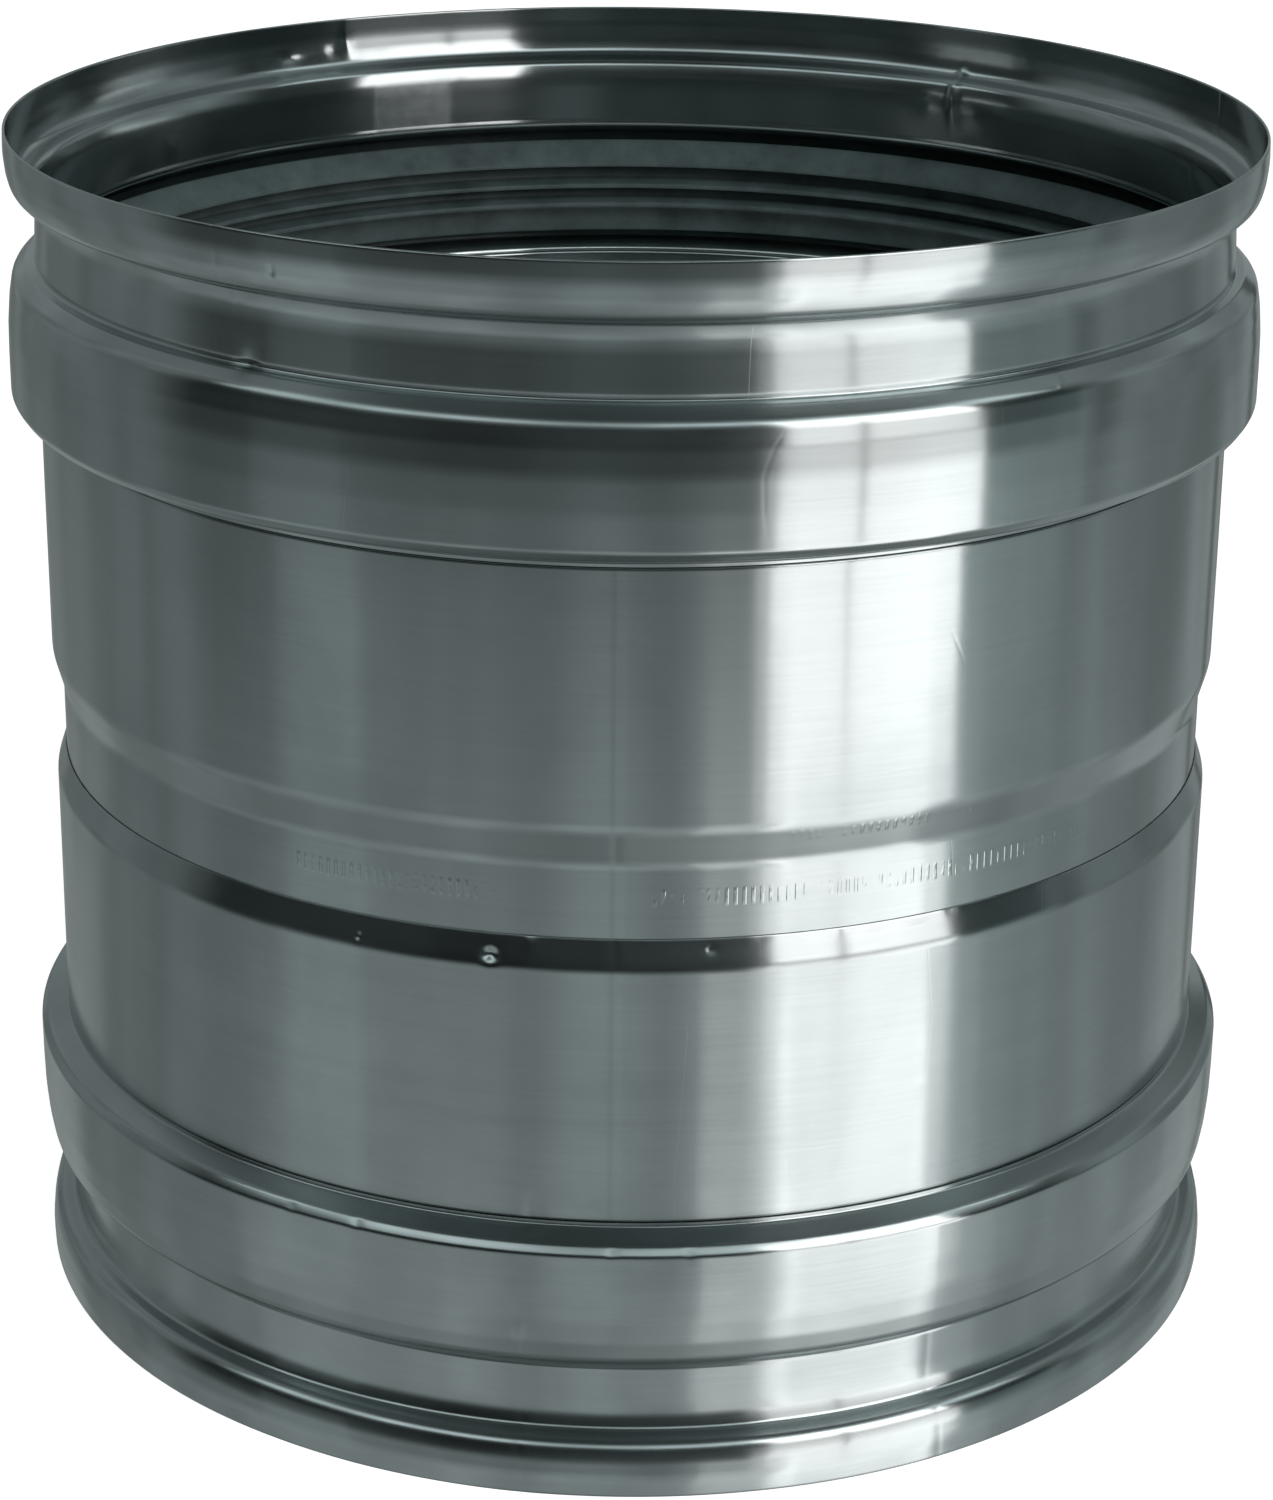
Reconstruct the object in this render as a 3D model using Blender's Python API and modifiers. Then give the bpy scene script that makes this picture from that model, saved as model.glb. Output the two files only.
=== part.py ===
"""Sleeve-type expansion joint for a single-wall stainless flue, as separate parts.

Two thin sleeves telescope at the middle. The upper sleeve is necked in below its shoulder and
slides, through the turned-in lip of the lower sleeve, inside it. Each far end carries a rolled
socket ring that takes the end of the next pipe and holds its lip gasket.
The axis is Z, the lowest rim stands on Z = 0, and lengths are in metres.
"""

import math

import bmesh
import bpy

MM = 0.001

# Driving dimensions ------------------------------------------------------------------------
NOMINAL_BORE = 200 * MM        # outside diameter of the pipes that the sockets take
SHEET = 0.5 * MM               # wall of every pressed stainless piece
HEIGHT = 203 * MM              # rim to rim, as it stands
SOCKET_CLEARANCE = 0.23 * MM   # between a pipe and the neck of a socket, on the radius
GAP = 0.35 * MM                # kept between pieces that touch or slide
SEGMENTS = 48                  # facets around every turned piece

# Socket ring, heights measured from its rim ---------------------------------------------------
NECK_RADIUS = NOMINAL_BORE / 2 + SOCKET_CLEARANCE + SHEET
RIM_RADIUS = 105.5 * MM
RIM_EDGE = 0.6 * MM            # short upright edge, so that the rim ends in a flat face
LIP_RADIUS = 104.6 * MM        # where the flared lip starts to turn back in
BEAD_RADIUS = 105.9 * MM
LIP_STRAIGHT = 6.0 * MM
LIP_HEIGHT = 10.0 * MM
NECK_END = 21.5 * MM
BEAD_START = 25.3 * MM
BEAD_END = 43.8 * MM
SOCKET_END = 47.7 * MM
TAIL_LENGTH = 4.0 * MM         # the plain end that laps inside the sleeve

# Sleeves ------------------------------------------------------------------------------------
BODY_RADIUS = 101.0 * MM
SPIGOT_RADIUS = 99.3 * MM      # necked-in part of the upper sleeve
GROOVE_TOP = 113.8 * MM        # where the upper sleeve starts to neck in
BAND_TOP = 107.2 * MM          # upper end of the straight band
LIP_TOP = 95.4 * MM            # turned-in edge of the lower sleeve
LIP_BEND = 90.2 * MM
SPIGOT_END = 65.4 * MM

# Inside the lower sleeve ----------------------------------------------------------------------
SEAL_TOP = 88.5 * MM
SEAL_HEIGHT = 9.0 * MM
RETAINER_HEIGHT = 3.0 * MM
STOP_BOTTOM = 66.0 * MM
STOP_HEIGHT = 3.0 * MM

# Lip gasket, heights measured from the rim of its socket -----------------------------------------
GASKET_TOP = 26.6 * MM         # back of the gasket, against the bead
GASKET_BOTTOM = 42.8 * MM
GASKET_BASE = 2.0 * MM         # thickness of the band behind the lips
MAIN_LIP_ROOT = 25.2 * MM
MAIN_LIP_TIP = 29.4 * MM       # the wide lip leans this far away from the mouth
MAIN_LIP_RADIUS = NOMINAL_BORE / 2 - 1.1 * MM
RIDGE_HEIGHTS = (33.9 * MM, 37.6 * MM)
RIDGE_RADIUS = NOMINAL_BORE / 2 - 0.6 * MM
RIDGE_ROOT_WIDTH = 2.4 * MM
LIP_EDGE_WIDTH = 0.8 * MM

BODY_BORE = BODY_RADIUS - SHEET
TAIL_RADIUS = BODY_BORE - GAP


def clear_scene():
    """Remove whatever objects the file opened with."""
    for old in list(bpy.data.objects):
        bpy.data.objects.remove(old, do_unlink=True)


def new_material(name, colour, roughness, metallic):
    """Return a Principled material with the given colour, roughness and metallic value."""
    material = bpy.data.materials.new(name)
    material.use_nodes = True
    shader = material.node_tree.nodes["Principled BSDF"]
    shader.inputs["Base Color"].default_value = (*colour, 1.0)
    shader.inputs["Roughness"].default_value = roughness
    shader.inputs["Metallic"].default_value = metallic
    return material


def quarter_turn(start, end, steps, first_axis):
    """Return points on a quarter ellipse from start to end, leaving start along first_axis."""
    (r0, z0), (r1, z1) = start, end
    points = []
    for step in range(1, steps + 1):
        angle = math.pi / 2 * step / steps
        slow, fast = 1 - math.cos(angle), math.sin(angle)
        along_r, along_z = (fast, slow) if first_axis == "r" else (slow, fast)
        points.append((r0 + (r1 - r0) * along_r, z0 + (z1 - z0) * along_z))
    return points


def s_bend(start, end, steps):
    """Return points from start to end on a smooth S, vertical at both ends."""
    (r0, z0), (r1, z1) = start, end
    points = []
    for step in range(1, steps + 1):
        along = step / steps
        ease = along * along * (3 - 2 * along)
        points.append((r0 + (r1 - r0) * ease, z0 + (z1 - z0) * along))
    return points


def turn(name, profile, material, collection, closed):
    """Turn a profile of (radius, height) points about Z; an open one is a sheet's outer face."""
    mesh = bpy.data.meshes.new(name)
    build = bmesh.new()
    verts = [build.verts.new((radius, 0.0, height)) for radius, height in profile]
    for first, second in zip(verts, verts[1:]):
        build.edges.new((first, second))
    if closed:
        build.edges.new((verts[-1], verts[0]))
    build.to_mesh(mesh)
    build.free()
    turned = bpy.data.objects.new(name, mesh)
    mesh.materials.append(material)
    collection.objects.link(turned)
    screw = turned.modifiers.new("turn", "SCREW")
    screw.axis = "Z"
    screw.steps = SEGMENTS
    screw.render_steps = SEGMENTS
    screw.use_merge_vertices = True
    screw.merge_threshold = 0.00001
    screw.use_smooth_shade = True
    if not closed:
        wall = turned.modifiers.new("sheet", "SOLIDIFY")
        wall.thickness = SHEET
        wall.offset = -1.0
        wall.use_even_offset = True
    return turned


def band(name, outer, inner, top, bottom, material, collection):
    """Make a plain ring of rectangular section."""
    profile = [(outer, top), (outer, bottom), (inner, bottom), (inner, top)]
    return turn(name, profile, material, collection, closed=True)


def from_rim(points, rim_height, direction):
    """Place points measured from a socket's rim; direction is -1 downwards, 1 upwards."""
    placed = [(radius, rim_height + direction * height) for radius, height in points]
    return placed if direction < 0 else placed[::-1]


def socket_outline():
    """Return the outer face of a socket ring, from its rim to its plain tail."""
    lip = [(RIM_RADIUS, 0.0), (RIM_RADIUS, RIM_EDGE), (LIP_RADIUS, LIP_STRAIGHT)]
    lip += quarter_turn(lip[-1], (NECK_RADIUS, LIP_HEIGHT), 3, "z")
    neck = [(NECK_RADIUS, NECK_END)]
    shoulder = s_bend(neck[-1], (BEAD_RADIUS, BEAD_START), 4)
    bead = [(BEAD_RADIUS, BEAD_END)]
    back = s_bend(bead[-1], (TAIL_RADIUS, SOCKET_END + GAP), 4)
    tail = [(TAIL_RADIUS, SOCKET_END + GAP + TAIL_LENGTH)]
    return lip + neck + shoulder + bead + back + tail


def gasket_outline():
    """Return the closed section of a lip gasket, down its back and up over its lips."""
    back = BEAD_RADIUS - SHEET - GAP
    front = back - GASKET_BASE
    section = [(back, GASKET_TOP), (back, GASKET_BOTTOM), (front, GASKET_BOTTOM + GASKET_BASE / 2)]
    for height in reversed(RIDGE_HEIGHTS):
        section += [
            (front, height + RIDGE_ROOT_WIDTH / 2),
            (RIDGE_RADIUS, height + LIP_EDGE_WIDTH / 2),
            (RIDGE_RADIUS, height - LIP_EDGE_WIDTH / 2),
            (front, height - RIDGE_ROOT_WIDTH / 2),
        ]
    section += [
        (front, MAIN_LIP_ROOT + GASKET_BASE),
        (MAIN_LIP_RADIUS, MAIN_LIP_TIP + LIP_EDGE_WIDTH),
        (MAIN_LIP_RADIUS, MAIN_LIP_TIP),
        (front, MAIN_LIP_ROOT),
    ]
    return section


def build_ends(steel, silicone, collection):
    """Make the socket ring and the gasket of both ends."""
    for end, rim_height, direction in (("upper", HEIGHT, -1), ("lower", 0.0, 1)):
        ring = from_rim(socket_outline(), rim_height, direction)
        turn(f"{end}_socket_ring", ring, steel, collection, closed=False)
        gasket = from_rim(gasket_outline(), rim_height, direction)
        turn(f"{end}_gasket", gasket, silicone, collection, closed=True)


def build_sleeves(steel, collection):
    """Make the two telescoping sleeves."""
    upper = [
        (BODY_RADIUS, HEIGHT - SOCKET_END),
        (BODY_RADIUS, GROOVE_TOP),
        (SPIGOT_RADIUS, BAND_TOP),
        (SPIGOT_RADIUS, SPIGOT_END),
    ]
    turn("upper_sleeve", upper, steel, collection, closed=False)
    lip_edge = SPIGOT_RADIUS + GAP + SHEET
    lower = [(lip_edge, LIP_TOP), (BODY_RADIUS, LIP_BEND), (BODY_RADIUS, SOCKET_END)]
    turn("lower_sleeve", lower, steel, collection, closed=False)


def build_seal(steel, graphite, collection):
    """Make the sliding seal, the hoop that holds it, and the hoop that stops the spigot."""
    outer = BODY_BORE - GAP
    inner = SPIGOT_RADIUS + GAP
    seal_bottom = SEAL_TOP - SEAL_HEIGHT
    retainer_top = seal_bottom - GAP
    band("seal_band", outer, inner, SEAL_TOP, seal_bottom, graphite, collection)
    band("seal_retainer", outer, inner, retainer_top, retainer_top - RETAINER_HEIGHT,
         steel, collection)
    band("spigot_stop_ring", outer, inner, STOP_BOTTOM + STOP_HEIGHT, STOP_BOTTOM,
         steel, collection)


def main():
    """Build the whole joint in its own collection."""
    clear_scene()
    collection = bpy.data.collections.new("flue_expansion_joint")
    bpy.context.scene.collection.children.link(collection)
    steel = new_material("stainless_sheet", (0.36, 0.39, 0.39), 0.18, 1.0)
    silicone = new_material("dark_silicone", (0.05, 0.055, 0.055), 0.55, 0.0)
    graphite = new_material("graphite_foil", (0.08, 0.08, 0.085), 0.45, 0.0)
    build_ends(steel, silicone, collection)
    build_sleeves(steel, collection)
    build_seal(steel, graphite, collection)


main()
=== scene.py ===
"""Looks of a sleeve-type expansion joint for a single-wall stainless flue.

Two thin tubes telescope at the middle. A rolled socket ring with a moulded lip gasket closes each
far end. Every piece is turned about Z as a closed sheet with its real bends, and rides on the body
of the CAD node that it stands for. Lengths are in metres, and Z = 0 is the lower rim.
"""

import logging
import math
from dataclasses import dataclass
from enum import Enum
from typing import Optional, Sequence

import bmesh
import bpy
from bpy.types import Material, Node, NodeSocket, NodeTree, Object
from mathutils import Matrix, Vector, noise

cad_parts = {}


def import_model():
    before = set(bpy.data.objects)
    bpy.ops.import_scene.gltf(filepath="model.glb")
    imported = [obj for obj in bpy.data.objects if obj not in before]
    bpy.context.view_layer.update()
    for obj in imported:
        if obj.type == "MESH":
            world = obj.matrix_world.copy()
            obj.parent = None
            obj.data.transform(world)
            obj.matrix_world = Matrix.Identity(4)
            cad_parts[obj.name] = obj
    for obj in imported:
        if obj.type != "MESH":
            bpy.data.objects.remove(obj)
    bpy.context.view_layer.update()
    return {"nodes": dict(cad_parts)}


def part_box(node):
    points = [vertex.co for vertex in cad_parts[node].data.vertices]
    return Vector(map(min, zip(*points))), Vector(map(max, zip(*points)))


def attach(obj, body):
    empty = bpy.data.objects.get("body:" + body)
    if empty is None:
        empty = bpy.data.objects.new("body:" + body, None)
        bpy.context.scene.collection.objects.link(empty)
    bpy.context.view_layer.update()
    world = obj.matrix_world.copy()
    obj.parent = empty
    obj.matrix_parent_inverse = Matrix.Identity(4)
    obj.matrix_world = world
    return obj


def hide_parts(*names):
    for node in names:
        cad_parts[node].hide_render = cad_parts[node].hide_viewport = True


MM = 0.001
WALL_RADIUS = 0.1    # near enough the radius of every wall, to turn lengths round it into angles
LOG = logging.getLogger("flue_expansion_joint")

Point = tuple[float, float]
Colour = tuple[float, float, float, float]


class End(Enum):
    """The end of the joint that a piece belongs to."""

    UPPER = "upper"
    LOWER = "lower"

    def height(self, rim: float, depth: float) -> float:
        """Turn a depth below this end's rim into a height; rim is the rim's height."""
        return rim - depth if self is End.UPPER else rim + depth


class Slot(Enum):
    """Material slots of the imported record."""

    SHEET = "stainless_sheet"
    SILICONE = "silicone"
    GRAPHITE = "graphite_foil"


# Colours and nodes -------------------------------------------


def linear(hex_colour: str, alpha: float = 1.0) -> Colour:
    """Turn an sRGB hex colour into a linear one.

    Args:
        hex_colour: six hex digits after a "#".
        alpha: opacity to add.

    Returns:
        Linear red, green, blue and alpha.
    """
    parts = [int(hex_colour[i:i + 2], 16) / 255 for i in (1, 3, 5)]
    red, green, blue = (c / 12.92 if c <= 0.04045 else ((c + 0.055) / 1.055) ** 2.4 for c in parts)
    return red, green, blue, alpha


def feed(tree: NodeTree, node: Node, inputs: dict) -> None:
    """Give a node its inputs.

    Args:
        tree: node tree that holds the node.
        node: the node.
        inputs: what each input takes, by its name or index: a value, an output socket, or
            a node, which stands for its first output in use.
    """
    for socket, value in inputs.items():
        if isinstance(value, Node):
            value = next(output for output in value.outputs if output.enabled)
        if isinstance(value, NodeSocket):
            tree.links.new(value, node.inputs[socket])
        else:
            node.inputs[socket].default_value = value


def add_node(tree: NodeTree, kind: str, settings: Optional[dict] = None,
             inputs: Optional[dict] = None) -> Node:
    """Add one node with its settings and inputs.

    Args:
        tree: node tree to add to.
        kind: type of the node, without its "ShaderNode".
        settings: attributes of the node.
        inputs: its inputs, as feed() takes them.

    Returns:
        The new node.
    """
    node = tree.nodes.new("ShaderNode" + kind)
    for name, value in (settings or {}).items():
        setattr(node, name, value)
    feed(tree, node, inputs or {})
    return node


@dataclass(frozen=True)
class Zone:
    """A part of a turned piece: between two angles in degrees and between two heights."""

    start: float
    end: float
    low: float
    high: float
    fade: float = 0.3 * MM

    def add(self, tree: NodeTree, place: NodeSocket) -> tuple[Node, Node]:
        """Add the nodes that find this zone.

        Args:
            tree: node tree of the material.
            place: object coordinates.

        Returns:
            A node that is 1 inside and 0 outside, and the angle from the zone's middle.
        """
        middle, half = (math.radians(a) for a in ((self.start + self.end) / 2,
                                                  abs(self.end - self.start) / 2))
        turned = add_node(tree, "Mapping", inputs={
            "Vector": place, "Rotation": (0.0, 0.0, -middle)})
        way = add_node(tree, "SeparateXYZ", inputs={"Vector": turned})
        away = add_node(tree, "Math", {"operation": "MULTIPLY"}, {0: way.outputs["Y"], 1: -1.0})
        angle = add_node(tree, "Math", {"operation": "ARCTAN2"}, {0: way.outputs["X"], 1: away})
        inside, turn = 1.0, self.fade / WALL_RADIUS
        for value, edge, way_in in (
                (angle, -half, turn), (angle, half, -turn),
                (way.outputs["Z"], self.low, self.fade),
                (way.outputs["Z"], self.high, -self.fade)):
            side = add_node(tree, "MapRange", inputs={
                "Value": value, "From Min": edge - way_in, "From Max": edge + way_in})
            inside = add_node(tree, "Math", {"operation": "MULTIPLY"}, {0: inside, 1: side})
        return inside, angle


@dataclass(frozen=True)
class ColdRolledStainless:
    """Bright cold-rolled stainless sheet, 0.5 mm, bent into a tube and roll-formed.

    The mill rolls leave microscopic lines that run round the tube. They stretch every reflection
    along the axis and leave it crisp across. Handling leaves faint smears and hair scratches, and
    the forming rolls leave burnished streaks.
    """

    name: str = "cold_rolled_stainless"
    sheet: str = "#B3BBBB"       # clean rolled face
    handled: str = "#A2ABAC"     # smeared and slightly oxidised face
    roughness: float = 0.14
    smear_roughness: float = 0.04
    anisotropy: float = 0.92
    grain_width: float = 0.45 * MM   # real lines are far finer; drawn this coarse to show
    smear_size: float = 45 * MM
    scratch_gap: float = 9 * MM
    grain_depth: float = 0.0006 * MM
    grain_tone: float = 0.5          # how much of the handled colour the grain and the
    smear_tone: float = 0.5          # smears bring in
    burnish_width: float = 2.2 * MM
    burnish_roughness: float = 0.04
    scratch_depth: float = 0.003 * MM
    tick_zones: tuple[Zone, ...] = ()    # where a knurled roller left short upright marks
    tick_pitch: float = 1.4 * MM
    tick_depth: float = 0.03 * MM
    tick_gap: float = 6 * MM         # between the places where the roller gripped
    ground_zones: tuple[Zone, ...] = ()  # where a weld was ground off
    ground_size: float = 2.5 * MM
    ground_roughness: tuple[float, float] = (0.03, 0.08)

    def build(self) -> Material:
        """Make the material."""
        material = bpy.data.materials.new(self.name)
        material.use_nodes = True
        tree = material.node_tree
        place = add_node(tree, "TexCoord").outputs["Object"]
        along_grain = 1 / (40 * self.grain_width)
        streaks = add_node(tree, "Mapping", inputs={
            "Vector": place, "Scale": (along_grain, along_grain, 1 / self.grain_width)})
        grain = add_node(tree, "TexNoise", inputs={
            "Vector": streaks, "Scale": 1.0, "Detail": 2.0, "Roughness": 0.6})
        smears = add_node(tree, "TexNoise", inputs={
            "Vector": place, "Scale": 1 / self.smear_size, "Detail": 5.0, "Roughness": 0.55,
            "Distortion": 0.4})
        cloud = add_node(tree, "MapRange", inputs={
            "Value": smears, "From Min": 0.42, "From Max": 0.66})
        tone = add_node(tree, "Math", {"operation": "MULTIPLY"}, {0: grain, 1: self.grain_tone})
        tone = add_node(tree, "Math", {"operation": "MULTIPLY_ADD"}, {
            0: cloud, 1: self.smear_tone, 2: tone})
        colour = add_node(tree, "Mix", {"data_type": "RGBA"}, {
            0: tone, 6: linear(self.sheet), 7: linear(self.handled)})
        tangent = add_node(tree, "Tangent", {"direction_type": "RADIAL", "axis": "Z"})
        feed(tree, tree.nodes["Principled BSDF"], {
            "Metallic": 1.0, "Anisotropic": self.anisotropy, "Anisotropic Rotation": 0.25,
            "Tangent": tangent, "Base Color": colour, "Normal": self._relief(tree, place, grain),
            "Roughness": self._roughness(tree, place, cloud)})
        return material

    def _roughness(self, tree: NodeTree, place: NodeSocket, cloud: Node) -> Node:
        """Add the roughness: dull under smears, in burnished streaks and where ground.

        Args:
            tree: node tree of the material.
            place: object coordinates.
            cloud: node that gives how smeared the face is, 0 to 1.

        Returns:
            The node that gives it.
        """
        burnish = add_node(tree, "Mapping", inputs={
            "Vector": place, "Scale": (6.0, 6.0, 1 / self.burnish_width)})
        rolled = add_node(tree, "TexNoise", inputs={"Vector": burnish, "Scale": 1.0, "Detail": 1.0})
        rough = add_node(tree, "Math", {"operation": "MULTIPLY_ADD"}, {
            0: cloud, 1: self.smear_roughness, 2: self.roughness})
        rough = add_node(tree, "Math", {"operation": "MULTIPLY_ADD"}, {
            0: rolled, 1: self.burnish_roughness, 2: rough})
        for zone in self.ground_zones:
            grit = add_node(tree, "TexNoise", inputs={
                "Vector": place, "Scale": 1 / self.ground_size, "Detail": 4.0, "Roughness": 0.8})
            rubbed = add_node(tree, "MapRange", inputs={
                "Value": grit, "From Min": 0.3, "From Max": 0.7,
                "To Min": self.ground_roughness[0], "To Max": self.ground_roughness[1]})
            rough = add_node(tree, "Math", {"operation": "MULTIPLY_ADD"}, {
                0: zone.add(tree, place)[0], 1: rubbed, 2: rough})
        return rough

    def _relief(self, tree: NodeTree, place: NodeSocket, grain: Node) -> Node:
        """Add the relief of the grain, the scratches and the roller's marks.

        Args:
            tree: node tree of the material.
            place: object coordinates.
            grain: node that gives the height of the grain, 0 to 1.

        Returns:
            The node that gives the normal.
        """
        relief = add_node(tree, "Bump", inputs={
            "Height": grain, "Strength": 1.0, "Distance": self.grain_depth})
        relief = add_node(tree, "Bump", {"invert": True}, {
            "Height": self._scratches(tree, place), "Strength": 1.0, "Normal": relief,
            "Distance": self.scratch_depth})
        if self.tick_zones:
            relief = add_node(tree, "Bump", inputs={
                "Height": self._ticks(tree, place), "Strength": 1.0, "Normal": relief,
                "Distance": self.tick_depth})
        return relief

    def _ticks(self, tree: NodeTree, place: NodeSocket) -> Node:
        """Add short upright marks in the zones that have them.

        Args:
            tree: node tree of the material.
            place: object coordinates.

        Returns:
            A node that is up to 1 on a mark and 0 elsewhere.
        """
        where = add_node(tree, "TexNoise", inputs={
            "Vector": place, "Scale": 1 / self.tick_gap, "Detail": 3.0, "Roughness": 0.8})
        found = add_node(tree, "MapRange", inputs={
            "Value": where, "From Min": 0.42, "From Max": 0.58})
        total = 0.0
        for zone in self.tick_zones:
            inside, angle = zone.add(tree, place)
            around = add_node(tree, "Math", {"operation": "MULTIPLY"}, {
                0: angle, 1: math.tau * WALL_RADIUS / self.tick_pitch})
            wave = add_node(tree, "Math", {"operation": "SINE"}, {0: around})
            mark = add_node(tree, "MapRange", {"interpolation_type": "SMOOTHSTEP"}, {
                "Value": wave, "From Min": 0.0, "From Max": 0.7})
            mark = add_node(tree, "Math", {"operation": "MULTIPLY"}, {0: mark, 1: inside})
            total = add_node(tree, "Math", {"operation": "ADD"}, {0: total, 1: mark})
        return add_node(tree, "Math", {"operation": "MULTIPLY"}, {0: total, 1: found})

    def _scratches(self, tree: NodeTree, place: NodeSocket) -> Node:
        """Add hair scratches in two leaning directions.

        Args:
            tree: node tree of the material.
            place: object coordinates.

        Returns:
            A node that is 1 in a scratch and 0 elsewhere.
        """
        found = 0.0
        for lean, stretch in ((0.5, 5.0), (-0.9, 8.0)):
            across = 1 / self.scratch_gap
            turned = add_node(tree, "Mapping", inputs={
                "Vector": place, "Rotation": (lean, lean * 0.7, lean * 0.4),
                "Scale": (across, across, across / stretch)})
            cells = add_node(tree, "TexVoronoi", {"feature": "DISTANCE_TO_EDGE"}, {
                "Vector": turned, "Scale": 1.0})
            line = add_node(tree, "MapRange", inputs={
                "Value": cells, "From Min": 0.0, "From Max": 0.012, "To Min": 1.0, "To Max": 0.0})
            patch = add_node(tree, "TexNoise", inputs={
                "Vector": turned, "Scale": 0.8, "Detail": 1.0})
            where = add_node(tree, "MapRange", inputs={
                "Value": patch, "From Min": 0.58, "From Max": 0.66})
            mark = add_node(tree, "Math", {"operation": "MULTIPLY"}, {0: line, 1: where})
            found = add_node(tree, "Math", {"operation": "MAXIMUM"}, {0: found, 1: mark})
        return found


@dataclass(frozen=True)
class MouldedSilicone:
    """Dark grey moulded silicone rubber of the lip gaskets.

    It is satin, with the fine texture of its mould and a grey bloom of dust on the lips.
    """

    name: str = "moulded_silicone"
    rubber: str = "#2A3636"
    dust: str = "#6A7B7B"
    roughness: float = 0.42
    dusty_roughness: float = 0.25    # added where the dust lies thickest
    mould_texture: float = 0.6 * MM
    mould_depth: float = 0.03 * MM
    dust_size: float = 9 * MM
    dust_cover: tuple[float, float] = (0.25, 0.85)

    def build(self) -> Material:
        """Make the material."""
        material = bpy.data.materials.new(self.name)
        material.use_nodes = True
        tree = material.node_tree
        place = add_node(tree, "TexCoord").outputs["Object"]
        settled = add_node(tree, "TexNoise", inputs={
            "Vector": place, "Scale": 1 / self.dust_size, "Detail": 6.0, "Roughness": 0.65})
        cover = add_node(tree, "MapRange", inputs={
            "Value": settled, "From Min": 0.3, "From Max": 0.7,
            "To Min": self.dust_cover[0], "To Max": self.dust_cover[1]})
        colour = add_node(tree, "Mix", {"data_type": "RGBA"}, {
            0: cover, 6: linear(self.rubber), 7: linear(self.dust)})
        rough = add_node(tree, "Math", {"operation": "MULTIPLY_ADD"}, {
            0: cover, 1: self.dusty_roughness, 2: self.roughness})
        texture = add_node(tree, "TexNoise", inputs={
            "Vector": place, "Scale": 1 / self.mould_texture, "Detail": 2.0})
        relief = add_node(tree, "Bump", inputs={
            "Height": texture, "Strength": 1.0, "Distance": self.mould_depth})
        feed(tree, tree.nodes["Principled BSDF"], {
            "Base Color": colour, "Roughness": rough, "Normal": relief})
        return material


@dataclass(frozen=True)
class GraphiteFoil:
    """Flexible graphite foil, wound and pressed into the sliding seal.

    It has the soft dark sheen of pencil lead, with the layers of its winding as fine lines.
    """

    name: str = "pressed_graphite_foil"
    foil: str = "#3A3A3C"
    rubbed: str = "#55565A"
    roughness: float = 0.38
    metallic: float = 0.3
    layer: float = 0.5 * MM
    layer_depth: float = 0.04 * MM
    flake: float = 2.5 * MM

    def build(self) -> Material:
        """Make the material."""
        material = bpy.data.materials.new(self.name)
        material.use_nodes = True
        tree = material.node_tree
        place = add_node(tree, "TexCoord").outputs["Object"]
        flakes = add_node(tree, "TexNoise", inputs={
            "Vector": place, "Scale": 1 / self.flake, "Detail": 4.0})
        colour = add_node(tree, "Mix", {"data_type": "RGBA"}, {
            0: flakes, 6: linear(self.foil), 7: linear(self.rubbed)})
        flat = add_node(tree, "Mapping", inputs={
            "Vector": place, "Scale": (20.0, 20.0, 1 / self.layer)})
        layers = add_node(tree, "TexNoise", inputs={"Vector": flat, "Scale": 1.0, "Detail": 1.0})
        relief = add_node(tree, "Bump", inputs={
            "Height": layers, "Strength": 1.0, "Distance": self.layer_depth})
        feed(tree, tree.nodes["Principled BSDF"], {
            "Metallic": self.metallic, "Roughness": self.roughness,
            "Base Color": colour, "Normal": relief})
        return material


# Shapes ------------------------------------------------------


@dataclass(frozen=True)
class Corner:
    """A corner of a section: its radius from the axis, its height and its bend radius."""

    r: float
    h: float
    bend: float = 0.0


def rounded(corners: Sequence[Corner], arc_step: float = math.radians(7)) -> list[Point]:
    """Round the inner corners of a line.

    Args:
        corners: the line's corners, in order.
        arc_step: largest turn between two points of a bend.

    Returns:
        Points of the rounded line.
    """
    points: list[Point] = [(corners[0].r, corners[0].h)]
    for before, corner, after in zip(corners, corners[1:], corners[2:]):
        here = Vector((corner.r, corner.h))
        back = Vector((before.r, before.h)) - here
        ahead = Vector((after.r, after.h)) - here
        turn = math.pi - back.angle(ahead)
        if corner.bend <= 0 or turn < 1e-4:
            points.append((corner.r, corner.h))
            continue
        reach = min(corner.bend * math.tan(turn / 2), back.length * 0.49, ahead.length * 0.49)
        bend = reach / math.tan(turn / 2)
        start, end = here + back.normalized() * reach, here + ahead.normalized() * reach
        middle = here + (back.normalized() + ahead.normalized()).normalized() * (
            bend / math.cos(turn / 2))
        steps = max(2, math.ceil(turn / arc_step))
        from_middle = start - middle
        sign = 1.0 if from_middle.cross(end - middle) > 0 else -1.0
        for step in range(steps + 1):
            angle = sign * turn * step / steps
            points.append((
                middle.x + from_middle.x * math.cos(angle) - from_middle.y * math.sin(angle),
                middle.y + from_middle.x * math.sin(angle) + from_middle.y * math.cos(angle)))
    points.append((corners[-1].r, corners[-1].h))
    return points


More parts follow.
